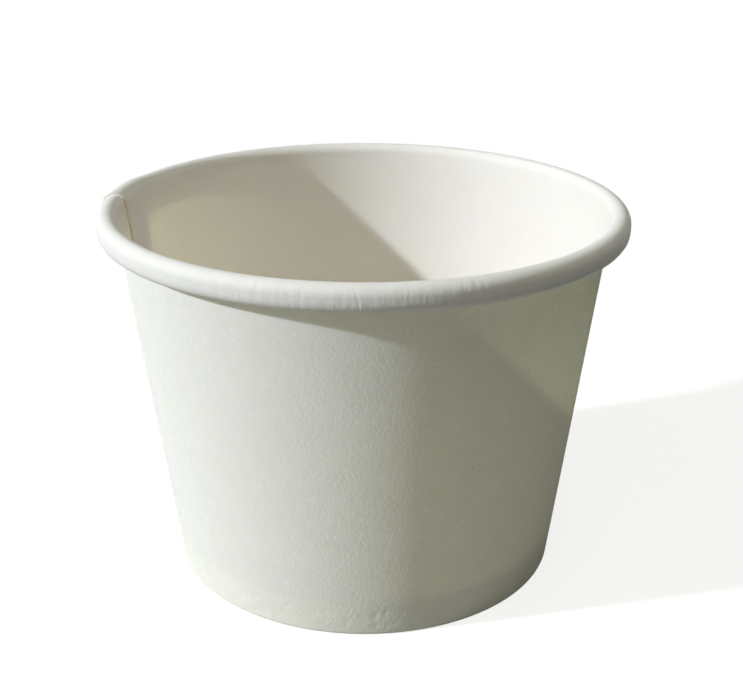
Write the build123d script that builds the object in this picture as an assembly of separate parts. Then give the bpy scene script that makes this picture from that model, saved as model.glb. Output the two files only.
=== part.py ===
from build123d import *
import os
from math import acos, atan2, cos, degrees, hypot, pi, radians, sin, tan

# Paper soup container: a conical side wall of coated card with a rolled rim, a lap seam and a hemmed foot,
# closed by a recessed base disc whose turned-down skirt is clamped in the hem.
# Millimetres, +Z up, origin at the middle of the foot, on the surface that the container stands on.

# Overall sizes
rim_diameter = 115.0
foot_diameter = 87.0
height = 82.5

# Card
board = 0.45
base_board = 0.40

# Rolled rim
curl_width = 4.5
curl_side = 1.2
curl_gap = 0.1
curl_tuck_angle = 190.0

# Base disc and the hem that holds it
base_height = 8.0
base_bend_radius = 0.6
seat_clearance = 0.05
skirt_room = 0.4
hem_room = 0.6
fold_radius = 0.1

# Lap seam of the side wall
seam_azimuth = 176.0
lap_width = 11.0
ramp_width = 10.0
ramp_steps = 4

# Worked out: the taper is the slant at which the wall's outside face runs into the rim's top arc
rim_radius = rim_diameter / 2
foot_radius = foot_diameter / 2
curl_top_radius = curl_width / 2
curl_top_core = curl_top_radius - board
curl_top_centre = (rim_radius - curl_top_radius, height - curl_top_radius)
overhang = curl_top_centre[0] - foot_radius
taper = acos(curl_top_core / hypot(overhang, curl_top_centre[1])) - atan2(curl_top_centre[1], overhang)
taper_angle = degrees(taper)

# Worked out: the rim's lower arc brings the rolled edge back to the wall, short of it by the gap
curl_low_height = curl_top_centre[1] - curl_side
curl_reach = (rim_radius - foot_radius) * cos(taper) - curl_low_height * sin(taper)
curl_low_radius = (curl_reach - curl_gap) / (1 + cos(taper))
curl_low_core = curl_low_radius - board
curl_low_centre = (rim_radius - curl_low_radius, curl_low_height)

# Worked out: the hem leaves room for the skirt, and the lap and its ramps are laid out round the rim
hem_gap = base_board + 2 * seat_clearance
hem_height = base_height - base_bend_radius - hem_room
lap_angle = degrees(lap_width / rim_radius)
ramp_angle = degrees(ramp_width / rim_radius)
lap_start = seam_azimuth - lap_angle


def on_wall(level, inset):
    """Point at a height on the line that lies a distance inside the wall's outside face."""
    return (foot_radius + level * tan(taper) - inset / cos(taper), level)


def tuck_angle(shift):
    """Turn of the rolled edge round the lower arc; a ply on a wider roll runs out of card sooner."""
    middle = curl_low_radius - board / 2
    card_left = middle * radians(curl_tuck_angle) - shift * (pi - taper)
    return degrees(card_left / (middle + shift))


def sheet_line(inset, shift, spread):
    """One face of the sheet: from its rolled edge round the rim, down the wall, round the fold and up the hem.

    The inset is the depth of that face in the card, zero outside. The shift moves the whole sheet inwards on
    to another ply, and the spread opens its fold to take another ply inside.
    """
    tuck = tuck_angle(shift)
    depth = inset + shift
    hem_depth = shift + 2 * board + hem_gap + 2 * spread - inset
    corner = fold_radius + spread
    corner_level = shift + board + corner
    low = CenterArc(curl_low_centre, curl_low_core + depth, -tuck, tuck)
    top = CenterArc(curl_top_centre, curl_top_core + depth, 0, 180 - taper_angle)
    corner_radius = corner + board - inset
    outer_corner = on_wall(corner_level, depth + corner_radius)
    inner_corner = on_wall(corner_level, hem_depth - corner_radius)
    outer = CenterArc(outer_corner, corner_radius, -taper_angle, taper_angle - 90)
    inner = CenterArc(inner_corner, corner_radius, -90, -90 - taper_angle)
    side = Line(low @ 1, top @ 0)
    wall = Line(top @ 1, outer @ 0)
    foot = Line(outer @ 1, inner @ 0)
    hem = Line(inner @ 1, on_wall(hem_height, hem_depth))
    return [low, side, top, wall, outer, foot, inner, hem]


def sheet_section(shift, spread):
    """Outline of a single ply."""
    cup_face = sheet_line(board, shift, spread)
    outside = sheet_line(0, shift, spread)
    rolled_edge = Line(cup_face[0] @ 0, outside[0] @ 0)
    hem_edge = Line(cup_face[-1] @ 1, outside[-1] @ 1)
    return Wire(cup_face + outside + [rolled_edge, hem_edge])


def lap_section():
    """Outline of the two sealed plies, the inner one's rolled edge falling short of the outer one's."""
    cup_face = sheet_line(board, board, 0)
    outside = sheet_line(0, 0, board)
    short_turn = tuck_angle(0) - tuck_angle(board)
    tail = CenterArc(curl_low_centre, curl_low_radius, -tuck_angle(0), short_turn)
    rolled_edges = [Line(cup_face[0] @ 0, tail @ 1), tail, Line(tail @ 0, outside[0] @ 0)]
    between = on_wall(hem_height, 3 * board + hem_gap)
    hem_edges = [Line(cup_face[-1] @ 1, between), Line(between, outside[-1] @ 1)]
    return Wire(cup_face + outside + rolled_edges + hem_edges)


def skirt_section(shift):
    """Bent edge of the base disc and its skirt, moved inwards with the ply that it seals to."""
    inset = board + seat_clearance + shift
    bend = on_wall(base_height - base_bend_radius, inset + base_board + base_bend_radius)
    skirt_level = 2 * board + skirt_room
    top_arc = CenterArc(bend, base_bend_radius + base_board, 90, -90 - taper_angle)
    low_arc = CenterArc(bend, base_bend_radius, 90, -90 - taper_angle)
    outer_end = on_wall(skirt_level, inset)
    inner_end = on_wall(skirt_level, inset + base_board)
    outer_face = Line(top_arc @ 1, outer_end)
    inner_face = Line(inner_end, low_arc @ 1)
    return Wire([top_arc, outer_face, Line(outer_end, inner_end), inner_face, low_arc])


def upright(section, azimuth):
    """Section stood in the upright half-plane at an azimuth about the container's axis."""
    return Rot(Z=azimuth) * (Plane.XZ.location * section)


def ramp_skin(section, start_azimuth, start_shift, end_shift):
    """Skin of the short stretch beside the lap, in which the sheet eases from one course to another."""
    stations = []
    for step in range(ramp_steps + 1):
        share = step / ramp_steps
        eased_share = share * share * (3 - 2 * share)
        shift = start_shift + (end_shift - start_shift) * eased_share
        stations.append(upright(section(shift), start_azimuth + ramp_angle * share))
    return Shell.make_loft(stations)


def wrapped_skins(plain, doubled, ramp_before, ramp_after):
    """Skins right round the axis: the plain stretch, the doubled lap and the ramps on either side of it."""
    plain_angle = 360 - lap_angle - 2 * ramp_angle
    return [
        Shell.revolve(upright(plain, seam_azimuth + ramp_angle), plain_angle, Axis.Z),
        Shell.revolve(upright(doubled, lap_start), lap_angle, Axis.Z),
        ramp_skin(ramp_before, lap_start - ramp_angle, 0, board),
        ramp_skin(ramp_after, seam_azimuth, board, 0),
    ]


def sewn(pieces):
    """Solid closed by the faces of all the pieces."""
    return Solid(Shell([face for piece in pieces for face in piece.faces()]))


def make_side_wall():
    """Wrapped sheet, easing inwards to lap over its own other end, whose raw edges show at each side."""
    skins = wrapped_skins(
        sheet_section(0, 0),
        lap_section(),
        lambda shift: sheet_section(shift, 0),
        lambda spread: sheet_section(0, spread),
    )
    inner_raw_edge = Face(upright(sheet_section(board, 0), seam_azimuth))
    outer_raw_edge = Face(upright(sheet_section(0, board), lap_start))
    return sewn(skins + [inner_raw_edge, outer_raw_edge])


def make_base_disc():
    """Flat disc with its edge bent down into a skirt, stepped inwards where the wall's lap passes it."""
    skins = wrapped_skins(skirt_section(0), skirt_section(board), skirt_section, skirt_section)
    level_edges = [skin.edges().filter_by(Plane.XY).sort_by(Axis.Z) for skin in skins]
    top_face = Face(Wire([edges[-1] for edges in level_edges]))
    low_face = Face(Wire([edges[-2] for edges in level_edges]))
    return sewn(skins + [top_face, low_face])


os.makedirs("parts", exist_ok=True)
export_step(make_side_wall(), "parts/side_wall.step")
export_step(make_base_disc(), "parts/base_disc.step")
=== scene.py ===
"""Paper soup container: its two pieces of card, their finishes and a plain stage, on the packed frame."""

from math import acos, atan2, cos, hypot, pi, radians, sin, tan
from types import SimpleNamespace

import bpy
import numpy as np
from mathutils import Matrix, Vector


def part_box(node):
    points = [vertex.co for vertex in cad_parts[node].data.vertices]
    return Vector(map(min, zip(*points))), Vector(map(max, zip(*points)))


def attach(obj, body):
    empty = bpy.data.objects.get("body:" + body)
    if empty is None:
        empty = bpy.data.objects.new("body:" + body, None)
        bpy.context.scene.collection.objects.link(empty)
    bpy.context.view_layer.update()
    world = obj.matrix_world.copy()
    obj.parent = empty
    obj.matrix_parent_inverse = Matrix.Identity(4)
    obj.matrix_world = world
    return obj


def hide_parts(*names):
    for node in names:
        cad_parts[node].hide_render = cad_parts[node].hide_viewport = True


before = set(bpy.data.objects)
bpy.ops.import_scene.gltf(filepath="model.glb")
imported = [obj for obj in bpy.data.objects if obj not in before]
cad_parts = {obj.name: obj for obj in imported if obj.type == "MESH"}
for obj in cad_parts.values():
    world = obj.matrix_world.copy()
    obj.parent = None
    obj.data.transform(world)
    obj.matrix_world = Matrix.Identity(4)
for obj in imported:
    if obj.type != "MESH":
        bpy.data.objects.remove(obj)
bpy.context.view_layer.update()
WALL_LOW, WALL_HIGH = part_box("side_wall")
BASE_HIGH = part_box("base_disc")[1]

bl_info = {
    "name": "Paper Soup Container",
    "version": (1, 0, 0),
    "blender": (4, 5, 0),
    "location": "3D View > Sidebar > Container",
    "description": "Builds a rolled-rim paper soup container from its sheet of card",
    "category": "Add Mesh",
}

PICTURE_WIDTH = 743
SENSOR_WIDTH = 36.0
TURN = 2 * pi
CARD = 0.00045
BASE_CARD = 0.00040


def length(name, description, default):
    """A length that a user may change, in metres."""
    return bpy.props.FloatProperty(
        name=name, description=description, default=default, min=0.0, precision=5, unit="LENGTH"
    )


def angle(name, description, degrees):
    """An angle that a user may change, given in degrees and kept in radians."""
    return bpy.props.FloatProperty(
        name=name, description=description, default=radians(degrees), subtype="ANGLE", unit="ROTATION"
    )


def share(name, description, default, highest=1.0):
    """A plain number from zero up."""
    return bpy.props.FloatProperty(
        name=name, description=description, default=default, min=0.0, max=highest, precision=3
    )


def colour(name, description, default):
    """A colour, in linear light."""
    return bpy.props.FloatVectorProperty(
        name=name, description=description, default=(*default, 1.0), size=4, min=0.0, max=1.0, subtype="COLOR"
    )


class CardSizes(bpy.types.PropertyGroup):
    """Sizes of the sheet and the base, the same as the solids have."""

    rim_diameter: length("Rim diameter", "Width across the outside of the rolled rim", WALL_HIGH.y - WALL_LOW.y)
    height: length("Height", "From the foot to the top of the rim, beside the lap", WALL_HIGH.z - CARD)
    foot_diameter: length("Foot diameter", "Width across the outside of the folded foot", 0.087)
    board: length("Card", "Thickness of the wall's card", CARD)
    base_board: length("Base card", "Thickness of the base's card", BASE_CARD)
    curl_width: length("Rim width", "Width of the rolled rim across its section", 0.0045)
    curl_side: length("Rim side", "Height of the straight outer side of the rim", 0.0012)
    curl_gap: length("Rim gap", "Room between the rim's tucked edge and the wall", 0.0001)
    curl_tuck: angle("Rim tuck", "Turn of the rim's lower roll, from its outer side to its raw edge", 190)
    base_height: length("Base height", "From the foot to the underside of the base", BASE_HIGH.z - BASE_CARD)
    base_bend: length("Base bend", "Inner radius of the bend at the base's edge", 0.0006)
    seat_clearance: length("Seat clearance", "Glue line between the base's skirt and the card beside it", 0.00005)
    skirt_room: length("Skirt room", "Room between the base's skirt and the folded foot", 0.0004)
    hem_room: length("Hem room", "Room between the hem's raw edge and the base's bend", 0.0006)
    fold_radius: length("Fold radius", "Inner radius of the fold at the foot", 0.0001)
    seam_azimuth: angle("Seam azimuth", "Where the inner ply's raw edge stands, round the axis", 176)
    lap_width: length("Lap width", "Overlap of the two plies, measured at the rim", 0.011)
    ramp_width: length("Ramp width", "Stretch over which the card steps over the lap, at the rim", 0.010)


class CardWear(bpy.types.PropertyGroup):
    """Unevenness that rolling, knurling and handling leave in the card."""

    rim_lean: length("Rim lean", "How far the rim stands off to one side of the foot", 0.0004)
    wall_wave: length("Wall wave", "Height of the slow waves in the wall", 0.00006)
    rim_ripple: length("Rim ripple", "Height of the fine pleats in the rolled rim", 0.000016)
    crease_azimuth: angle("Crease azimuth", "Where the rim has its slanted crease", 268.1)
    crease_depth: length("Crease depth", "Depth of the slanted crease in the rim", 0.00004)
    pucker_depth: length("Pucker depth", "Depth of the dents that the knurl leaves outside the foot", 0.00010)
    hem_knurl: length("Hem knurl", "Depth of the knurl's grooves on the hem", 0.00012)
    base_dome: length("Base dome", "Height by which the base bulges upwards", 0.00030)
    base_gather: length("Base gather", "Height of the gathers near the base's bend", 0.00006)


class CardColours(bpy.types.PropertyGroup):
    """Colours of the card's finishes."""

    paper: colour("Paper", "Plain outside of the card", (0.948, 0.938, 0.825))
    paper_cloud: colour("Paper cloud", "Denser patches of the plain outside", (0.926, 0.913, 0.798))
    backed_paper: colour("Backed paper", "Plain outside where more card lies behind it", (0.948, 0.938, 0.84))
    backed_cloud: colour("Backed paper cloud", "Denser patches there", (0.926, 0.913, 0.815))
    coating: colour("Coating", "Coated side of the wall's card", (0.935, 0.887, 0.785))
    coating_cloud: colour("Coating cloud", "Denser patches under the coating", (0.925, 0.873, 0.77))
    backed_coating: colour("Backed coating", "Coated side where more card lies behind it", (0.845, 0.82, 0.745))
    backed_coating_cloud: colour("Backed coating cloud", "Denser patches there", (0.835, 0.808, 0.73))
    rim_skin: colour("Rim skin", "Coated side where it is rolled outwards", (0.865, 0.851, 0.817))
    rim_cloud: colour("Rim skin cloud", "Denser patches there", (0.845, 0.831, 0.797))
    raw_edge: colour("Raw edge", "Cut edge of the card", (0.915, 0.85, 0.72))
    raw_shade: colour("Raw edge shade", "Darker fibres in the cut edge", (0.85, 0.76, 0.62))
    # This colour is also the painted highlight on the raised fibres
    light_speck: colour("Light speck", "Loose fibres on the outside", (0.995, 0.985, 0.875))
    dark_speck: colour("Dark speck", "Bits of bark in the pulp", (0.76, 0.73, 0.63))


class StageSettings(bpy.types.PropertyGroup):
    """Light, floor and camera."""

    floor: colour("Floor", "Floor that the container stands on, before its lift", (0.33, 0.33, 0.311))
    floor_lift: share("Floor lift", "Light added to the floor for the camera, so that it shows white", 0.79)
    key_azimuth: angle("Key azimuth", "Direction of the main light round the axis", 196.3)
    key_elevation: angle("Key elevation", "Height of the main light above the floor", 27.45)
    key_spread: angle("Key spread", "Width of the main light as the container sees it", 2.4)
    key_strength: share("Key strength", "Irradiance of the main light", 3.04, 20.0)
    key: colour("Key", "Colour of the main light", (0.88, 0.93, 1.0))
    fill: colour("Fill", "Colour of the soft light", (1.0, 0.99, 0.85))
    fill_azimuth: angle("Fill azimuth", "Direction of the soft light from the side, round the axis", 225.0)
    fill_elevation: angle("Fill elevation", "Height of the soft light from the side", 20.0)
    fill_level: share("Fill level", "Level of the soft light from the side, in its middle", 0.50, 4.0)
    top_azimuth: angle("Top azimuth", "Direction of the soft light from above, round the axis", 350.0)
    top_elevation: angle("Top elevation", "Height of the soft light from above", 76.0)
    top_level: share("Top level", "Level of the soft light from above, in its middle", 2.90, 4.0)
    camera_distance: length("Camera distance", "From the middle of the container", 0.28856)
    camera_elevation: angle("Camera elevation", "Height of the camera above the horizon", 23.27)
    camera_focus: share("Focal length", "Focal length, in pixels of the picture", 1250.8, 5000.0)
    camera_yaw: angle("Camera yaw", "Turn of the camera to the right of the container", 0.30404)
    camera_pitch: angle("Camera pitch", "Turn of the camera above the container", 1.08480)
    camera_roll: angle("Camera roll", "Turn of the picture about the line of sight", 0.20850)


def smooth(t):
    """Smoothstep: 3t squared less 2t cubed, with t held between 0 and 1."""
    t = np.clip(t, 0.0, 1.0)
    return t * t * (3.0 - 2.0 * t)


def ring_noise(theta, fewest, most, count, seed):
    """Ripple that closes on itself round the axis: a sum of sines of theta with whole wave counts and random phases.

    The wave counts lie between fewest and most, and the sum is scaled to a mean square of one.
    """
    draw = np.random.default_rng(seed)
    waves = draw.integers(fewest, most + 1, count)
    phases = draw.uniform(0, TURN, count)
    return np.sin(theta[..., None] * waves + phases).sum(-1) * (2 / count) ** 0.5


def sheet_measures(sizes):
    """Works out the section of the sheet from its driving sizes, as the solids do.

    The taper makes the wall's outside tangent to the rim's upper roll, and the lower roll's radius leaves curl_gap
    between its widest point and the wall.
    """
    m = SimpleNamespace()
    m.board, m.fold_radius, m.height = sizes.board, sizes.fold_radius, sizes.height
    m.rim_radius, m.foot_radius = sizes.rim_diameter / 2, sizes.foot_diameter / 2
    top_radius = sizes.curl_width / 2
    m.top_core = top_radius - m.board
    m.top_centre = (m.rim_radius - top_radius, m.height - top_radius)
    overhang = m.top_centre[0] - m.foot_radius
    m.taper = acos(m.top_core / hypot(overhang, m.top_centre[1])) - atan2(m.top_centre[1], overhang)
    low_height = m.top_centre[1] - sizes.curl_side
    reach = (m.rim_radius - m.foot_radius) * cos(m.taper) - low_height * sin(m.taper)
    low_radius = (reach - sizes.curl_gap) / (1 + cos(m.taper))
    m.low_core = low_radius - m.board
    m.low_centre = (m.rim_radius - low_radius, low_height)
    m.tuck, m.tuck_middle = sizes.curl_tuck, low_radius - m.board / 2
    m.hem_gap = sizes.base_board + 2 * sizes.seat_clearance
    m.hem_height = sizes.base_height - sizes.base_bend - sizes.hem_room
    m.seam = sizes.seam_azimuth
    m.lap, m.ramp = sizes.lap_width / m.rim_radius, sizes.ramp_width / m.rim_radius
    return m


def on_wall(m, level, inset):
    """Radius and height of a point at a level, inset from the wall's outside at right angles to it."""
    return m.foot_radius + level * tan(m.taper) - inset / cos(m.taper), level


def arc_run(centre, radius, start, turn, t):
    """Arc: the centre plus the radius times the cosine and sine of start + turn times t."""
    spin = start + turn * t[:, None]
    return centre[0] + radius * np.cos(spin), centre[1] + radius * np.sin(spin)


def line_run(start, end, t):
    """Straight run: start plus t times the way to end, for radius and height alike."""
    return [a + (b - a) * t[:, None] for a, b in zip(start, end)]


# Shares of the wall's run, from the rim down, at which the rim's roll ends and the base begins
CURL_LOW, BASE_TOP = 0.043, 0.902
# Share of the upper roll that has the rim's skin
RIM_SKIN_END = 0.83

# Where the rows stand along each run of the sheet's section, as shares of the run
ROWS = SimpleNamespace(
    low=np.linspace(0, 1, 10),
    side=np.array([0.5]),
    top=np.linspace(0, 1, 12),
    wall=np.concatenate([np.linspace(CURL_LOW, BASE_TOP, 10), np.linspace(BASE_TOP, 1, 20)[1:-1]]),
    outer=np.linspace(0, 1, 4),
    land=np.array([0.5]),
    inner=np.linspace(0, 1, 4),
    hem=np.linspace(0, 1, 8)[1:],
)


def row_weights(**runs):
    """One weight for each row of the sheet, from the runs that are given; the other runs have none."""
    parts = [np.broadcast_to(runs.get(name, 0.0), t.shape) for name, t in vars(ROWS).items()]
    return np.concatenate(parts)[:, None]


# How far each relief and each finish reaches along the rows
RIM_ROWS = row_weights(low=smooth((ROWS.low - 0.35) / 0.3), side=1.0, top=1 - smooth((ROWS.top - 0.10) / 0.6))
CREASE_ROWS = row_weights(low=smooth((ROWS.low - 0.5) / 0.2), side=1.0, top=1 - smooth((ROWS.top - 0.36) / 0.16))
WALL_ROWS = row_weights(wall=1.0)
HEM_ROWS = row_weights(hem=1.0)
SINGLE_PLY = row_weights(wall=(ROWS.wall > CURL_LOW) & (ROWS.wall <= BASE_TOP))[1:, 0] > 0
CURL_SKIN = row_weights(low=1.0, side=1.0, top=ROWS.top <= RIM_SKIN_END)[1:, 0] > 0
CUP_SKIN = row_weights(top=1.0, wall=ROWS.wall <= BASE_TOP)[1:, 0] > 0


def sheet_face(m, inset, shift, spread):
    """Radius and height of one face of the sheet, over rows along its section and columns round the axis.

    The section runs from the rim's raw edge round the lower roll, up the rim's side, over the upper roll, down the
    wall, round the fold at the foot and up to the hem's raw edge: arcs joined by straight runs. inset is 0 on the
    outside and one card on the cup's side. In each column, shift sets a ply further in and spread opens the fold.
    """
    depth = inset + shift
    hem_depth = shift + 2 * m.board + m.hem_gap + 2 * spread - inset
    corner = m.fold_radius + spread
    corner_level = shift + m.board + corner
    corner_radius = corner + m.board - inset
    tuck = (m.tuck_middle * m.tuck - shift * (pi - m.taper)) / (m.tuck_middle + shift)
    low = arc_run(m.low_centre, m.low_core + depth, -tuck, tuck, ROWS.low)
    top = arc_run(m.top_centre, m.top_core + depth, 0.0, pi - m.taper, ROWS.top)
    outer_centre = on_wall(m, corner_level, depth + corner_radius)
    inner_centre = on_wall(m, corner_level, hem_depth - corner_radius)
    outer = arc_run(outer_centre, corner_radius, -m.taper, m.taper - pi / 2, ROWS.outer)
    inner = arc_run(inner_centre, corner_radius, -pi / 2, -pi / 2 - m.taper, ROWS.inner)
    ends = [(run[0][0], run[1][0], run[0][-1], run[1][-1]) for run in (low, top, outer, inner)]
    side = line_run(ends[0][2:], ends[1][:2], ROWS.side)
    wall = line_run(ends[1][2:], ends[2][:2], ROWS.wall)
    land = line_run(ends[2][2:], ends[3][:2], ROWS.land)
    hem = line_run(ends[3][2:], on_wall(m, m.hem_height, hem_depth), ROWS.hem)
    runs = (low, side, top, wall, outer, land, inner, hem)
    return [np.concatenate([run[axis] for run in runs]) for axis in (0, 1)]


# Columns of the whole sheet and of the band across the crease, and the room between the lap's plies
PLAIN_COLUMNS = 672
CREASE_COLUMNS = 44
CREASE_BAND = radians(1.7)
LAP_GLUE = 0.00001


def sheet_columns(m, wear):
    """Azimuths of the sheet's columns, from the outer ply's raw edge once round to the inner ply's.

    They are evenly spaced, and closer together across the rim's crease.
    """
    plain = np.linspace(m.seam - m.lap, m.seam + TURN, PLAIN_COLUMNS)
    plain = plain[np.abs(plain - wear.crease_azimuth) > CREASE_BAND]
    fine = wear.crease_azimuth + np.linspace(-CREASE_BAND, CREASE_BAND, CREASE_COLUMNS + 2)[1:-1]
    return np.sort(np.concatenate([plain, fine]))


def wall_drift(m, wear, theta, level):
    """Slow unevenness of the wall, outwards: the rim's lean to one side and a few waves that grow with height."""
    rise = np.clip(level / m.height, 0.0, 1.0)
    lean = -wear.rim_lean * np.cos(theta) * smooth(rise)
    waves = np.cos(2 * theta + 0.6) * rise**2 + np.cos(3 * theta + 2.1) * np.sin(pi * rise) * rise
    return lean + wear.wall_wave * (waves + 0.5 * np.cos(7 * theta + 4.0 * rise) * np.sin(pi * rise) * rise)


# The crease's slant along the rim, then the sizes of its groove and lip and the lip's share of the depth
CREASE_SWEEP, CREASE_FALL, CREASE_START = 0.0019, 0.0015, 0.0009
GROOVE_WIDTH, LIP_WIDTH, LIP_EDGE, LIP_SHARE = 0.00020, 0.0009, 0.00007, 0.75


def rim_relief(m, wear, theta, level):
    """Relief of the rim's skin, outwards: fine pleats all round, and a slanted crease with a raised lip beside it.

    The crease leans over at the top and straightens downwards, as an exponential of the drop from the rim's top.
    """
    patches = np.tanh(ring_noise(theta, fewest=3, most=14, count=8, seed=12))
    pleats = ring_noise(theta, fewest=70, most=210, count=60, seed=11) * (0.55 + 0.45 * patches)
    slant = CREASE_SWEEP * (1 - np.exp((level - m.height) / CREASE_FALL)) - CREASE_START
    across = (theta - wear.crease_azimuth) * m.rim_radius - slant
    groove = np.exp(-((across / GROOVE_WIDTH) ** 2))
    lip = np.exp(-np.clip(across, 0, None) / LIP_WIDTH) / (1 + np.exp(np.clip(-across / LIP_EDGE, -60, 60)))
    return RIM_ROWS * wear.rim_ripple * pleats + CREASE_ROWS * wear.crease_depth * (LIP_SHARE * lip - groove)


# Azimuth and half width in degrees, and number of dents, of each patch at the front of the foot
KNURL_MARKS = (
    (237.0, 4.0, 13),
    (246.0, 3.0, 6),
    (258.5, 2.4, 9),
    (266.0, 2.0, 5),
    (273.5, 2.6, 14),
    (279.5, 1.2, 5),
)
# First and last azimuth, and number, of the patches on the rest of the foot
KNURL_REST = (295.0, 575.0, 16)
# Ranges of those patches' half widths in degrees and numbers of dents
REST_WIDTHS, REST_DENTS = (1.2, 4.0), (4, 13)
# Ranges of the dents' levels, widths and shares of the depth, then their slant and their stretch upwards
PUCKER_LEVELS, PUCKER_WIDTHS, PUCKER_SHARES = (0.0016, 0.0058), (0.00045, 0.00070), (-0.5, 1.0)
PUCKER_SLANT, PUCKER_STRETCH = 0.35, 1.25
# Grooves round the hem, the band of levels that they reach over and how far its ends fade
KNURL_WAVES = 168
HEM_BAND, HEM_FADE = (0.0010, 0.0052), 0.0010


def pucker_centres():
    """Azimuth, level, width and depth of each dent outside the foot, in rows, drawn from a fixed seed.

    The dents gather in the patches at the front and in more patches on the rest of the foot.
    """
    draw = np.random.default_rng(21)
    start, end, count = KNURL_REST
    rest = zip(draw.uniform(start, end, count), draw.uniform(*REST_WIDTHS, count), draw.integers(*REST_DENTS, count))
    dents = []
    for azimuth, width, number in (*KNURL_MARKS, *rest):
        spin = radians(azimuth) + radians(width) * draw.uniform(-1, 1, number)
        level = draw.uniform(*PUCKER_LEVELS, number)
        dents.append([spin, level, draw.uniform(*PUCKER_WIDTHS, number), draw.uniform(*PUCKER_SHARES, number)])
    return np.concatenate(dents, axis=1)


def foot_relief(wear, theta, level, radius):
    """Marks of the knurl, outwards: soft dents in patches outside the foot, and even grooves along the hem.

    A dent is a bell curve of the distance from its centre, stretched upwards along a slight slant. The azimuth
    counts the same after a whole turn.
    """
    puckers = np.zeros_like(level)
    rows = WALL_ROWS[:, 0] > 0
    for spin, height, width, depth in pucker_centres().T:
        rise = level[rows] - height
        along = (np.remainder(theta - spin + pi, TURN) - pi) * radius - PUCKER_SLANT * rise
        puckers[rows] -= depth * np.exp(-((along / width) ** 2) - (rise / (PUCKER_STRETCH * width)) ** 2)
    grooves = 0.5 + 0.5 * np.cos(KNURL_WAVES * theta)
    low, high = HEM_BAND
    hem_band = smooth((level - low) / HEM_FADE) * (1 - smooth((level - high) / HEM_FADE))
    return wear.pucker_depth * np.tanh(puckers) - HEM_ROWS * wear.hem_knurl * hem_band * grooves


def round_axis(radius, level, theta):
    """Points in space: radius times the cosine and sine of theta, and the level."""
    return np.stack([radius * np.cos(theta), radius * np.sin(theta), level], axis=-1)


def side_wall_faces(sizes, wear):
    """The sheet's cup face and outside face, as grids of points.

    Both faces share the section's rows, so the way from one to the other is the card's normal, along which each
    face gets its own relief. The slow drift moves both faces alike.
    """
    m = sheet_measures(sizes)
    theta = sheet_columns(m, wear)
    shift = (m.board + LAP_GLUE) * smooth((theta - (m.seam + TURN - m.lap - m.ramp)) / m.ramp)
    spread = m.board * (1 - smooth((theta - m.seam) / m.ramp))
    cup = sheet_face(m, m.board, shift, spread)
    outside = sheet_face(m, 0.0, shift, spread)
    normal = [(a - b) / m.board for a, b in zip(cup, outside)]
    drift = wall_drift(m, wear, theta, outside[1])
    rim = rim_relief(m, wear, theta, outside[1])
    foot = foot_relief(wear, theta, outside[1], m.foot_radius)
    cup = [a + n * rim for a, n in zip(cup, normal)]
    outside = [a - n * foot for a, n in zip(outside, normal)]
    return [round_axis(radius + drift, level, theta) for radius, level in (cup, outside)]


def grid_quads(corners):
    """Four-cornered faces of a grid of vertex numbers, each going along the columns first and then along the rows."""
    along = [corners[:-1, :-1], corners[:-1, 1:], corners[1:, 1:], corners[1:, :-1]]
    return np.stack(along, axis=-1).reshape(-1, 4)


# The finishes' numbers, in the order of card_finishes, and the angle from which an edge is sharp
PLAIN, COATED, RAW, BACKED_PLAIN, BACKED_COATED, RIM = range(6)
SHARP_ANGLE = radians(38)


def new_piece(name, points, quads, finish, materials):
    """A mesh object at the origin, with smooth faces and sharp cut edges, that rides on the one body."""
    mesh = bpy.data.meshes.new(name)
    mesh.from_pydata(points.tolist(), [], quads)
    for material in materials:
        mesh.materials.append(material)
    mesh.polygons.foreach_set("material_index", np.asarray(finish, dtype=np.int32))
    mesh.shade_smooth()
    mesh.set_sharp_from_angle(angle=SHARP_ANGLE)
    if mesh.validate():
        raise RuntimeError(f"the mesh of {name} had faulty faces")
    piece = bpy.data.objects.new(name, mesh)
    bpy.context.scene.collection.objects.link(piece)
    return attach(piece, "root")


def closed_sheet(name, cup, outside, materials):
    """A piece from the two faces of a sheet, closed by strips along its four raw edges.

    Light comes through the outside of the single ply between the rim and the base, and through the coating from the
    rim's skin down to the base. Elsewhere more card lies behind the sheet. Over the rolled rim the skin is pressed
    across the cut edges of the lap.
    """
    rows, columns = cup.shape[:2]
    numbers = np.arange(2 * rows * columns).reshape(2, rows, columns)
    near, far = numbers
    strips = [
        grid_quads(numbers[:, 0].T),
        grid_quads(numbers[:, -1]),
        grid_quads(numbers[:, :, 0]),
        grid_quads(numbers[:, :, -1].T),
    ]
    parts = [grid_quads(near), grid_quads(far)[:, ::-1], *strips]
    cup_finish = np.select([CURL_SKIN, CUP_SKIN], [RIM, COATED], BACKED_COATED)
    out_finish = np.where(SINGLE_PLY, PLAIN, BACKED_PLAIN)
    ends = np.full(2 * (columns - 1), RAW)
    cut = np.where(CURL_SKIN, RIM, RAW)
    finish = np.concatenate([np.repeat(cup_finish, columns - 1), np.repeat(out_finish, columns - 1), ends, cut, cut])
    points = np.concatenate([cup.reshape(-1, 3), outside.reshape(-1, 3)])
    return new_piece(name, points, np.concatenate(parts).tolist(), finish, materials)


# Columns round the base, rows along its flats, bends and skirt, and the numbers of the skirt's runs
BASE_COLUMNS = 480
FLAT_ROWS, BEND_ROWS, SKIRT_ROWS = 18, 8, 6
SKIRT_DOWN, SKIRT_UP = 2, 3
GATHER_START = 0.80


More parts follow.
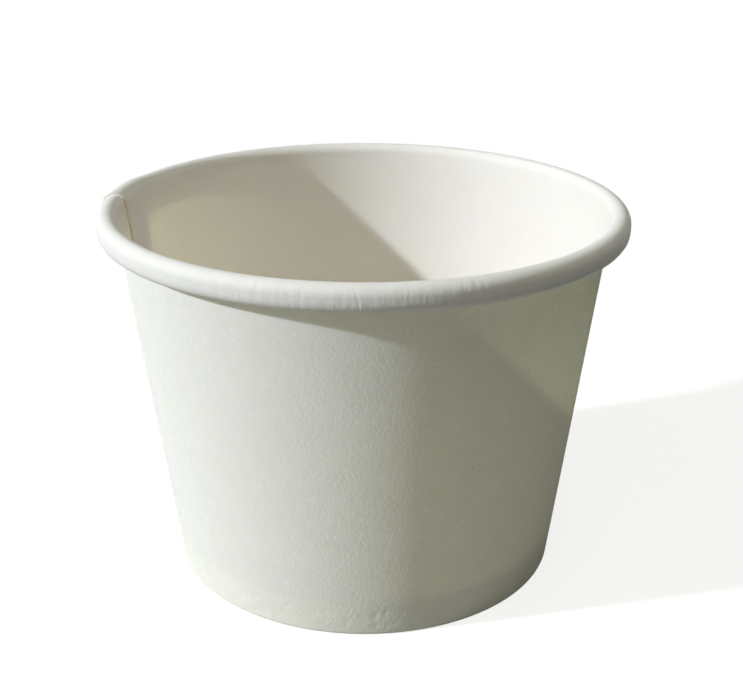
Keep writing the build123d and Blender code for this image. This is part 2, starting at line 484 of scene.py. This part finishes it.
def base_disc_rows(sizes, wear):
    """The base's closed section, as grids of radius and height, and the rows' run numbers.

    It goes from beside the axis along the top, round the bend, down the skirt, round its raw edge, up the skirt's
    inside, round the bend again and back along the underside. The flats bulge as a parabola of the radius, and the
    bend is gathered by a ripple of the azimuth that only presses in.
    """
    m = sheet_measures(sizes)
    theta = np.linspace(0, TURN, BASE_COLUMNS, endpoint=False)
    before = smooth((theta - (m.seam - m.lap - m.ramp)) / m.ramp)
    after = smooth((theta - m.seam) / m.ramp)
    inset = m.board + sizes.seat_clearance + (m.board + LAP_GLUE) * (before - after)
    bend = on_wall(m, sizes.base_height - sizes.base_bend, inset + sizes.base_board + sizes.base_bend)
    skirt_level = 2 * m.board + sizes.skirt_room
    inner_bend, outer_bend = sizes.base_bend, sizes.base_bend + sizes.base_board
    flat, turn, drop = (np.linspace(0, 1, rows)[1:] for rows in (FLAT_ROWS, BEND_ROWS, SKIRT_ROWS))
    arc_down = arc_run(bend, outer_bend, pi / 2, -pi / 2 - m.taper, turn)
    arc_up = arc_run(bend, inner_bend, -m.taper, pi / 2 + m.taper, turn)
    start_up = arc_run(bend, inner_bend, -m.taper, 0.0, np.array([0.0]))
    outer_end, inner_end = on_wall(m, skirt_level, inset), on_wall(m, skirt_level, inset + sizes.base_board)
    top = [bend[0] * flat[:, None], np.broadcast_to(bend[1] + outer_bend, (len(flat), len(theta)))]
    skirt_down = line_run((arc_down[0][-1], arc_down[1][-1]), outer_end, drop)
    rise = np.concatenate([[0.0], drop])
    skirt_up = line_run(inner_end, (start_up[0][0], start_up[1][0]), rise)
    under = [bend[0] * flat[-2::-1, None], np.broadcast_to(bend[1] + inner_bend, (len(flat) - 1, len(theta)))]
    runs = (top, arc_down, skirt_down, skirt_up, arc_up, under)
    numbers = np.repeat(np.arange(len(runs)), [len(run[0]) for run in runs])
    whole = [np.concatenate([np.broadcast_to(a, (len(a), len(theta))) for a in axis]) for axis in zip(*runs)]
    inward = np.clip(whole[0] / bend[0], 0, 1)
    bulge = wear.base_dome * (1 - inward**2) * (1 + 0.25 * np.cos(2 * theta + 0.8) * inward)
    gather = wear.base_gather * (0.5 + 0.5 * np.tanh(ring_noise(theta, fewest=40, most=95, count=24, seed=31)))
    above_skirt = smooth((whole[1] - (sizes.base_height - 2 * outer_bend)) / outer_bend)
    near_bend = smooth((inward - GATHER_START) / (1 - GATHER_START)) * above_skirt
    level = whole[1] + bulge * (whole[1] > bend[1]) - gather * near_bend
    return round_axis(whole[0], level, theta), numbers


def closed_disc(name, grid, runs, middles, materials):
    """A piece from a grid that closes on itself round the axis, with a fan of triangles at either end's middle."""
    rows, columns = grid.shape[:2]
    numbers = np.arange(rows * columns).reshape(rows, columns)
    ring = np.concatenate([numbers, numbers[:, :1]], axis=1)
    quads = grid_quads(ring)[:, ::-1]
    first, last = rows * columns, rows * columns + 1
    top_fan = np.stack([np.full(columns, first), ring[0, :-1], ring[0, 1:]], axis=-1)
    low_fan = np.stack([np.full(columns, last), ring[-1, 1:], ring[-1, :-1]], axis=-1)
    faces = quads.tolist() + top_fan.tolist() + low_fan.tolist()
    between = np.where(runs[1:] <= SKIRT_DOWN, BACKED_COATED, BACKED_PLAIN)
    between[(runs[1:] == SKIRT_UP) & (runs[:-1] == SKIRT_DOWN)] = RAW
    fans = [np.full(columns, BACKED_COATED), np.full(columns, BACKED_PLAIN)]
    finish = np.concatenate([np.repeat(between, columns), *fans])
    points = np.concatenate([grid.reshape(-1, 3), np.array(middles)])
    return new_piece(name, points, faces, finish, materials)


def add(tree, kind, inputs=None, **settings):
    """A new node with its settings; an input that is a socket is linked, and any other is a value."""
    node = tree.nodes.new(kind)
    for name, value in settings.items():
        setattr(node, name, value)
    for name, value in (inputs or {}).items():
        if isinstance(value, bpy.types.NodeSocket):
            tree.links.new(value, node.inputs[name])
        else:
            node.inputs[name].default_value = value
    return node


def calc(tree, operation, *values):
    """The output of a Math node."""
    return add(tree, "ShaderNodeMath", dict(enumerate(values)), operation=operation).outputs[0]


def remap(tree, value, low, high, to_low=0.0, to_high=1.0):
    """A value carried smoothly from one range to another."""
    inputs = {"Value": value, "From Min": low, "From Max": high, "To Min": to_low, "To Max": to_high}
    return add(tree, "ShaderNodeMapRange", inputs, interpolation_type="SMOOTHSTEP").outputs["Result"]


def tint(tree, factor, first, second):
    """A colour between two, by a factor."""
    return add(tree, "ShaderNodeMix", {0: factor, 6: first, 7: second}, data_type="RGBA").outputs[2]


def new_group(name, inputs, outputs):
    """An empty shader node group with named sockets, and its input and output nodes."""
    group = bpy.data.node_groups.new(name, "ShaderNodeTree")
    for label, kind in inputs.items():
        group.interface.new_socket(name=label, in_out="INPUT", socket_type=kind)
    for label in outputs:
        group.interface.new_socket(name=label, in_out="OUTPUT", socket_type="NodeSocketFloat")
    return group, group.nodes.new("NodeGroupInput"), group.nodes.new("NodeGroupOutput")


def streaks(group, vector, scale, turn, stretch):
    """Noise drawn out along one direction, as pressed fibres are."""
    laid = add(group, "ShaderNodeMapping", {"Vector": vector, "Rotation": turn, "Scale": stretch})
    inputs = {"Vector": laid.outputs[0], "Scale": scale, "Detail": 3.0, "Roughness": 0.55, "Distortion": 0.35}
    return add(group, "ShaderNodeTexNoise", inputs).outputs[0]


def fibre_group():
    """Pressed paper fibres: the height of their felt, the cloudy tone of the pulp, and a few fibres that stand out.

    The felt is two drawn-out noises, a fine grain, and worm-like ridges where a slower noise is near its mean. The
    fibres that stand out are the thinnest of those ridges, in sparse patches: they are raised in the bump and also
    painted lighter, a painted highlight on them.
    """
    sockets = {"Vector": "NodeSocketVector", "Scale": "NodeSocketFloat"}
    group, start, end = new_group("card_fibre", sockets, ("Height", "Tone", "Raised Fibre Painted Highlight"))
    vector, scale = start.outputs["Vector"], start.outputs["Scale"]
    along = streaks(group, vector, scale, (0.5, 0.2, 0.3), (1.0, 1.0, 0.62))
    across = streaks(group, vector, scale, (-0.6, 0.9, 1.1), (1.0, 0.62, 1.0))
    grain_inputs = {"Vector": vector, "Scale": calc(group, "MULTIPLY", scale, 2.2)}
    grain = add(group, "ShaderNodeTexNoise", grain_inputs).outputs[0]
    slow = streaks(group, vector, calc(group, "MULTIPLY", scale, 0.62), (0.9, -0.4, 0.7), (1.0, 1.0, 0.7))
    off_mean = calc(group, "ABSOLUTE", calc(group, "SUBTRACT", slow, 0.5))
    worms = remap(group, off_mean, 0.12, 0.0)
    felt = calc(group, "ADD", calc(group, "MULTIPLY", along, 0.36), calc(group, "MULTIPLY", across, 0.32))
    felt = calc(group, "ADD", felt, calc(group, "MULTIPLY", grain, 0.12))
    felt = calc(group, "ADD", felt, calc(group, "MULTIPLY", worms, 0.20))
    cloud_inputs = {"Vector": vector, "Scale": calc(group, "MULTIPLY", scale, 0.16), "Detail": 3.0, "Roughness": 0.6}
    cloud = add(group, "ShaderNodeTexNoise", cloud_inputs).outputs[0]
    tone = calc(group, "ADD", calc(group, "MULTIPLY", cloud, 0.6), calc(group, "MULTIPLY", felt, 0.4))
    patch_inputs = {"Vector": vector, "Scale": calc(group, "MULTIPLY", scale, 0.30), "Detail": 1.0}
    patch = remap(group, add(group, "ShaderNodeTexNoise", patch_inputs).outputs[0], 0.55, 0.66)
    # The thinnest ridges in sparse patches: a mask that raises these fibres and paints a highlight on them
    raised_fibre_painted_highlight = calc(group, "MULTIPLY", remap(group, off_mean, 0.035, 0.01), patch)
    group.links.new(felt, end.inputs["Height"])
    group.links.new(remap(group, tone, 0.36, 0.64), end.inputs["Tone"])
    group.links.new(raised_fibre_painted_highlight, end.inputs["Raised Fibre Painted Highlight"])
    return group


def speck_group():
    """Rare specks: small round spots in a few cells of a Voronoi pattern, light ones and fewer dark ones."""
    sockets = {"Vector": "NodeSocketVector", "Scale": "NodeSocketFloat", "Share": "NodeSocketFloat"}
    group, start, end = new_group("card_specks", sockets, ("Light", "Dark"))
    inputs = {"Vector": start.outputs["Vector"], "Scale": start.outputs["Scale"]}
    cells = add(group, "ShaderNodeTexVoronoi", inputs)
    picks = add(group, "ShaderNodeSeparateColor", {"Color": cells.outputs["Color"]})
    spot = remap(group, cells.outputs["Distance"], 0.10, 0.045)
    light = calc(group, "LESS_THAN", picks.outputs[0], start.outputs["Share"])
    dark = calc(group, "LESS_THAN", picks.outputs[1], calc(group, "MULTIPLY", start.outputs["Share"], 0.03))
    group.links.new(calc(group, "MULTIPLY", spot, light), end.inputs["Light"])
    group.links.new(calc(group, "MULTIPLY", spot, dark), end.inputs["Dark"])
    return group


def knurl_group():
    """Fine wrinkles that the knurl leaves near the foot: a drawn-out noise, in patches of a band of heights."""
    group, start, end = new_group("knurl_ripple", {"Vector": "NodeSocketVector"}, ("Height",))
    place = add(group, "ShaderNodeSeparateXYZ", {0: start.outputs["Vector"]})
    wrinkle = streaks(group, start.outputs["Vector"], 900.0, (0.0, 0.0, 0.0), (1.0, 1.0, 0.55))
    above = remap(group, place.outputs[2], 0.0010, 0.0024)
    below = remap(group, place.outputs[2], 0.0066, 0.0044)
    inputs = {"Vector": start.outputs["Vector"], "Scale": 140.0, "Detail": 1.0}
    patch = remap(group, add(group, "ShaderNodeTexNoise", inputs).outputs[0], 0.42, 0.62)
    band = calc(group, "MULTIPLY", calc(group, "MULTIPLY", above, below), patch)
    group.links.new(calc(group, "MULTIPLY", wrinkle, band), end.inputs["Height"])
    return group


def pleat_group():
    """Fine pleats of the rolled rim: a noise of the direction from the axis, drawn out along the height."""
    group, start, end = new_group("rim_pleats", {"Vector": "NodeSocketVector"}, ("Height",))
    flat = add(group, "ShaderNodeVectorMath", {0: start.outputs["Vector"], 1: (1.0, 1.0, 0.0)}, operation="MULTIPLY")
    ring = add(group, "ShaderNodeVectorMath", {0: flat.outputs[0]}, operation="NORMALIZE")
    level = add(group, "ShaderNodeVectorMath", {0: start.outputs["Vector"], 1: (0.0, 0.0, 4.4)}, operation="MULTIPLY")
    laid = add(group, "ShaderNodeVectorMath", {0: ring.outputs[0], 1: level.outputs[0]}, operation="ADD")
    pleats = add(group, "ShaderNodeTexNoise", {"Vector": laid.outputs[0], "Scale": 65.0, "Detail": 2.0})
    group.links.new(pleats.outputs[0], end.inputs["Height"])
    return group


def shared(name, make):
    """A node group that several materials use, made once."""
    return bpy.data.node_groups.get(name) or make()


def place_group(tree, group, **inputs):
    """A group placed in a material, on Object coordinates."""
    place = add(tree, "ShaderNodeTexCoord").outputs["Object"]
    node = tree.nodes.new("ShaderNodeGroup")
    node.node_tree = group
    tree.links.new(place, node.inputs["Vector"])
    for name, value in inputs.items():
        node.inputs[name].default_value = value
    return node


def new_finish(name, constants, colour_socket, rough_socket, height, distance):
    """A material of one Principled shader: constant sockets, a colour, a roughness and a bump."""
    material = bpy.data.materials[name]
    tree = material.node_tree
    bump = add(tree, "ShaderNodeBump", {"Height": height, "Distance": distance, "Strength": 1.0})
    inputs = {"Base Color": colour_socket, "Roughness": rough_socket, "Normal": bump.outputs[0], **constants}
    shader = add(tree, "ShaderNodeBsdfPrincipled", inputs)
    end = add(tree, "ShaderNodeOutputMaterial")
    tree.links.new(shader.outputs[0], end.inputs["Surface"])
    return material


def blank(name):
    """A new material with an empty node tree."""
    material = bpy.data.materials.new(name)
    material.use_nodes = True
    material.node_tree.nodes.clear()
    return material.node_tree


# Light through a single ply of card, and the heights of the finishes' bumps in metres
CARD_GLOW = {
    "Subsurface Weight": 0.52,
    "Subsurface Radius": (1.0, 0.97, 0.55),
    "Subsurface Scale": 0.0018,
}
NO_GLOW = {}
PAPER_BUMP, SKIN_BUMP, EDGE_BUMP = 0.000064, 0.00003, 0.00010


def plain_paper(name, pulp, cloud, specks, glow):
    """Plain outside of the card: dull felted fibres, cloudy pulp, rare specks and the knurl's wrinkles."""
    tree = blank(name)
    fibre = place_group(tree, shared("card_fibre", fibre_group), Scale=1050.0)
    spots = place_group(tree, shared("card_specks", speck_group), Scale=230.0, Share=0.08)
    ripple = place_group(tree, shared("knurl_ripple", knurl_group))
    body = tint(tree, fibre.outputs["Tone"], cloud, pulp)
    # Light specks, and a painted highlight on the raised fibres, lighten the colour
    specks_and_painted_highlight = calc(tree, "MAXIMUM", spots.outputs["Light"], fibre.outputs["Raised Fibre Painted Highlight"])
    light_speck, dark_speck = specks
    body = tint(tree, specks_and_painted_highlight, body, light_speck)
    body = tint(tree, spots.outputs["Dark"], body, dark_speck)
    rough = remap(tree, fibre.outputs["Height"], 0.3, 0.7, 0.80, 0.95)
    relief = calc(tree, "ADD", fibre.outputs["Height"], calc(tree, "MULTIPLY", ripple.outputs["Height"], 0.45))
    relief = calc(tree, "ADD", relief, calc(tree, "MULTIPLY", spots.outputs["Light"], 0.3))
    relief = calc(tree, "ADD", relief, calc(tree, "MULTIPLY", fibre.outputs["Raised Fibre Painted Highlight"], 0.15))
    constants = {**glow, "IOR": 1.40, "Specular IOR Level": 0.06}
    return new_finish(name, constants, body, rough, relief, PAPER_BUMP)


def coated_card(name, pulp, cloud, glow):
    """Coated side of the card: a smooth satin skin over faint clouds of pulp."""
    tree = blank(name)
    fibre = place_group(tree, shared("card_fibre", fibre_group), Scale=620.0)
    body = tint(tree, fibre.outputs["Tone"], cloud, pulp)
    rough = remap(tree, fibre.outputs["Height"], 0.3, 0.7, 0.50, 0.64)
    constants = {**glow, "IOR": 1.46, "Specular IOR Level": 0.35}
    return new_finish(name, constants, body, rough, fibre.outputs["Height"], SKIN_BUMP)


def rolled_skin(name, pulp, cloud):
    """Coated side of the card where it is rolled outwards: a satin skin with fine pleats across the roll."""
    tree = blank(name)
    fibre = place_group(tree, shared("card_fibre", fibre_group), Scale=620.0)
    pleats = place_group(tree, shared("rim_pleats", pleat_group))
    body = tint(tree, fibre.outputs["Tone"], cloud, pulp)
    rough = remap(tree, fibre.outputs["Height"], 0.3, 0.7, 0.46, 0.60)
    relief = calc(tree, "ADD", fibre.outputs["Height"], calc(tree, "MULTIPLY", pleats.outputs["Height"], 3.0))
    constants = {"IOR": 1.46, "Specular IOR Level": 0.08}
    return new_finish(name, constants, body, rough, relief, SKIN_BUMP)


def raw_card_edge(name, pulp, cloud):
    """Cut edge of the card: brownish, rough, with darker fibres."""
    tree = blank(name)
    fibre = place_group(tree, shared("card_fibre", fibre_group), Scale=2400.0)
    body = tint(tree, fibre.outputs["Tone"], cloud, pulp)
    rough = remap(tree, fibre.outputs["Height"], 0.3, 0.7, 0.85, 1.0)
    constants = {"IOR": 1.40, "Specular IOR Level": 0.25}
    return new_finish(name, constants, body, rough, fibre.outputs["Height"], EDGE_BUMP)


def card_finishes(colours):
    """The six finishes of both pieces of card, made once, in the order in which the faces number them."""
    # The light speck colour also paints the highlight on the raised fibres
    specks = colours.light_speck, colours.dark_speck
    backed_coating = colours.backed_coating, colours.backed_coating_cloud
    makers = {
        "plain_paper": (plain_paper, colours.paper, colours.paper_cloud, specks, CARD_GLOW),
        "coated_card": (coated_card, colours.coating, colours.coating_cloud, CARD_GLOW),
        "raw_card_edge": (raw_card_edge, colours.raw_edge, colours.raw_shade),
        "backed_paper": (plain_paper, colours.backed_paper, colours.backed_cloud, specks, NO_GLOW),
        "backed_coating": (coated_card, *backed_coating, NO_GLOW),
        "rim_skin": (rolled_skin, colours.rim_skin, colours.rim_cloud),
    }
    return [bpy.data.materials.get(name) or make(name, *values) for name, (make, *values) in makers.items()]


class CONTAINER_OT_side_wall(bpy.types.Operator):
    """Make the side wall: one sheet with its lap, rolled rim and folded foot"""

    bl_idname = "container.side_wall"
    bl_label = "Side Wall"

    def execute(self, context):
        scene = context.scene
        cup, outside = side_wall_faces(scene.container_sizes, scene.container_wear)
        piece = closed_sheet("side_wall_card", cup, outside, card_finishes(scene.container_colours))
        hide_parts("side_wall")
        return {"FINISHED"}


class CONTAINER_OT_base_disc(bpy.types.Operator):
    """Make the base: a slightly domed disc with its skirt turned down"""

    bl_idname = "container.base_disc"
    bl_label = "Base Disc"

    def execute(self, context):
        scene = context.scene
        sizes, wear = scene.container_sizes, scene.container_wear
        grid, runs = base_disc_rows(sizes, wear)
        under = sizes.base_height + wear.base_dome
        middles = [(0.0, 0.0, under + sizes.base_board), (0.0, 0.0, under)]
        piece = closed_disc("base_disc_card", grid, runs, middles, card_finishes(scene.container_colours))
        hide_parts("base_disc")
        return {"FINISHED"}


# Half the side of the square floor, and the white of its lift and of the background
FLOOR_HALF = 0.25
WHITE = (1.0, 1.0, 1.0, 1.0)


def seen_directly(tree):
    """One for rays from the camera, from a gloss or through glass, and zero for light that falls on other surfaces."""
    path = add(tree, "ShaderNodeLightPath")
    seen = calc(tree, "MAXIMUM", path.outputs["Is Camera Ray"], path.outputs["Is Glossy Ray"])
    return calc(tree, "MAXIMUM", seen, path.outputs["Is Transmission Ray"])


def floor_material(stage):
    """Dull floor that keeps the shadow, lifted to white where it is seen directly."""
    tree = blank("pale_floor")
    dull = add(tree, "ShaderNodeBsdfDiffuse", {"Color": stage.floor})
    lift = add(tree, "ShaderNodeEmission", {"Color": WHITE, "Strength": stage.floor_lift})
    lifted = add(tree, "ShaderNodeAddShader", {0: dull.outputs[0], 1: lift.outputs[0]})
    mixed = add(tree, "ShaderNodeMixShader", {0: seen_directly(tree), 1: dull.outputs[0], 2: lifted.outputs[0]})
    add(tree, "ShaderNodeOutputMaterial", {"Surface": mixed.outputs[0]})
    return bpy.data.materials["pale_floor"]


def lay_floor(stage):
    """A flat square floor at the foot."""
    corners = np.array([(-1, -1, 0), (1, -1, 0), (1, 1, 0), (-1, 1, 0)]) * FLOOR_HALF
    mesh = bpy.data.meshes.new("floor")
    mesh.from_pydata(corners.tolist(), [], [(0, 1, 2, 3)])
    mesh.materials.append(floor_material(stage))
    floor = bpy.data.objects.new("floor", mesh)
    bpy.context.scene.collection.objects.link(floor)


# Cosines of the angles from their middles at which the soft lights end
FILL_EDGE, TOP_EDGE = 0.4, 0.90


def soft_light(tree, place, azimuth, elevation, edge, level):
    """Level of a soft light: full in its middle direction, falling smoothly to none where the cosine is at the edge."""
    flat = cos(elevation)
    middle = (flat * cos(azimuth), flat * sin(azimuth), sin(elevation))
    towards = add(tree, "ShaderNodeVectorMath", {0: place, 1: middle}, operation="DOT_PRODUCT")
    return remap(tree, towards.outputs["Value"], edge, 1.0, 0.0, level)


def light_world(stage):
    """Soft light from one side and from above, with a white background where the world is seen directly."""
    world = bpy.data.worlds.new("studio")
    world.use_nodes = True
    tree = world.node_tree
    tree.nodes.clear()
    place = add(tree, "ShaderNodeTexCoord").outputs["Generated"]
    side = soft_light(tree, place, stage.fill_azimuth, stage.fill_elevation, FILL_EDGE, stage.fill_level)
    top = soft_light(tree, place, stage.top_azimuth, stage.top_elevation, TOP_EDGE, stage.top_level)
    level = calc(tree, "ADD", side, top)
    fill = add(tree, "ShaderNodeBackground", {"Color": stage.fill, "Strength": level})
    white = add(tree, "ShaderNodeBackground", {"Color": WHITE, "Strength": 1.0})
    mixed = add(tree, "ShaderNodeMixShader", {0: seen_directly(tree), 1: fill.outputs[0], 2: white.outputs[0]})
    add(tree, "ShaderNodeOutputWorld", {"Surface": mixed.outputs[0]})
    bpy.context.scene.world = world


def hang_key(stage):
    """The main light: a small distant source, low and to the left of the camera."""
    lamp = bpy.data.lights.new("key", "SUN")
    lamp.energy, lamp.angle = stage.key_strength, stage.key_spread
    lamp.color = stage.key[:3]
    key = bpy.data.objects.new("key", lamp)
    flat = cos(stage.key_elevation)
    towards = Vector((flat * cos(stage.key_azimuth), flat * sin(stage.key_azimuth), sin(stage.key_elevation)))
    key.location = towards
    key.rotation_euler = towards.to_track_quat("Z", "Y").to_euler()
    bpy.context.scene.collection.objects.link(key)


def set_camera(stage, sizes):
    """The camera at the photograph's angle: its place round the container's middle, then its yaw, pitch and roll."""
    data = bpy.data.cameras.new("camera")
    data.sensor_width = SENSOR_WIDTH
    data.lens = stage.camera_focus * SENSOR_WIDTH / PICTURE_WIDTH
    data.clip_start, data.clip_end = 0.01, 50.0
    camera = bpy.data.objects.new("camera", data)
    rise, yaw = stage.camera_elevation, stage.camera_yaw
    pitch = stage.camera_pitch - rise
    place = Vector((0.0, -cos(rise), sin(rise))) * stage.camera_distance
    ahead = Vector((sin(yaw) * cos(pitch), cos(yaw) * cos(pitch), sin(pitch)))
    right = Vector((cos(yaw), -sin(yaw), 0.0))
    up = right.cross(ahead)
    c, s = cos(stage.camera_roll), sin(stage.camera_roll)
    axes = Matrix((right * c + up * s, up * c - right * s, -ahead)).transposed()
    camera.matrix_world = Matrix.Translation(place + Vector((0, 0, sizes.height / 2))) @ axes.to_4x4()
    bpy.context.scene.collection.objects.link(camera)
    bpy.context.scene.camera = camera


class CONTAINER_OT_stage(bpy.types.Operator):
    """Make the floor, the light and the camera"""

    bl_idname = "container.stage"
    bl_label = "Stage"

    def execute(self, context):
        stage = context.scene.container_stage
        lay_floor(stage)
        light_world(stage)
        hang_key(stage)
        set_camera(stage, context.scene.container_sizes)
        context.scene.view_settings.view_transform = "Standard"
        return {"FINISHED"}


class CONTAINER_PT_panel(bpy.types.Panel):
    """Sizes, wear, colours and stage of the container, and the operators that make it"""

    bl_label = "Paper Soup Container"
    bl_idname = "CONTAINER_PT_panel"
    bl_space_type = "VIEW_3D"
    bl_region_type = "UI"
    bl_category = "Container"

    def draw(self, context):
        for operator in OPERATORS:
            self.layout.operator(operator.bl_idname)
        for name, group in GROUPS.items():
            box = self.layout.box()
            for prop in group.__annotations__:
                box.prop(getattr(context.scene, name), prop)


GROUPS = {
    "container_sizes": CardSizes,
    "container_wear": CardWear,
    "container_colours": CardColours,
    "container_stage": StageSettings,
}
OPERATORS = (CONTAINER_OT_side_wall, CONTAINER_OT_base_disc, CONTAINER_OT_stage)
CLASSES = (*GROUPS.values(), *OPERATORS, CONTAINER_PT_panel)


def register():
    """Registers the classes and puts the settings on the scene."""
    for kind in CLASSES:
        bpy.utils.register_class(kind)
    for name, group in GROUPS.items():
        setattr(bpy.types.Scene, name, bpy.props.PointerProperty(type=group))


def unregister():
    """Takes the settings off the scene and unregisters the classes."""
    for name in GROUPS:
        delattr(bpy.types.Scene, name)
    for kind in reversed(CLASSES):
        bpy.utils.unregister_class(kind)


def main():
    """Registers the add-on and makes each piece and the stage."""
    register()
    bpy.ops.container.side_wall()
    bpy.ops.container.base_disc()
    bpy.ops.container.stage()


if __name__ == "__main__":
    main()
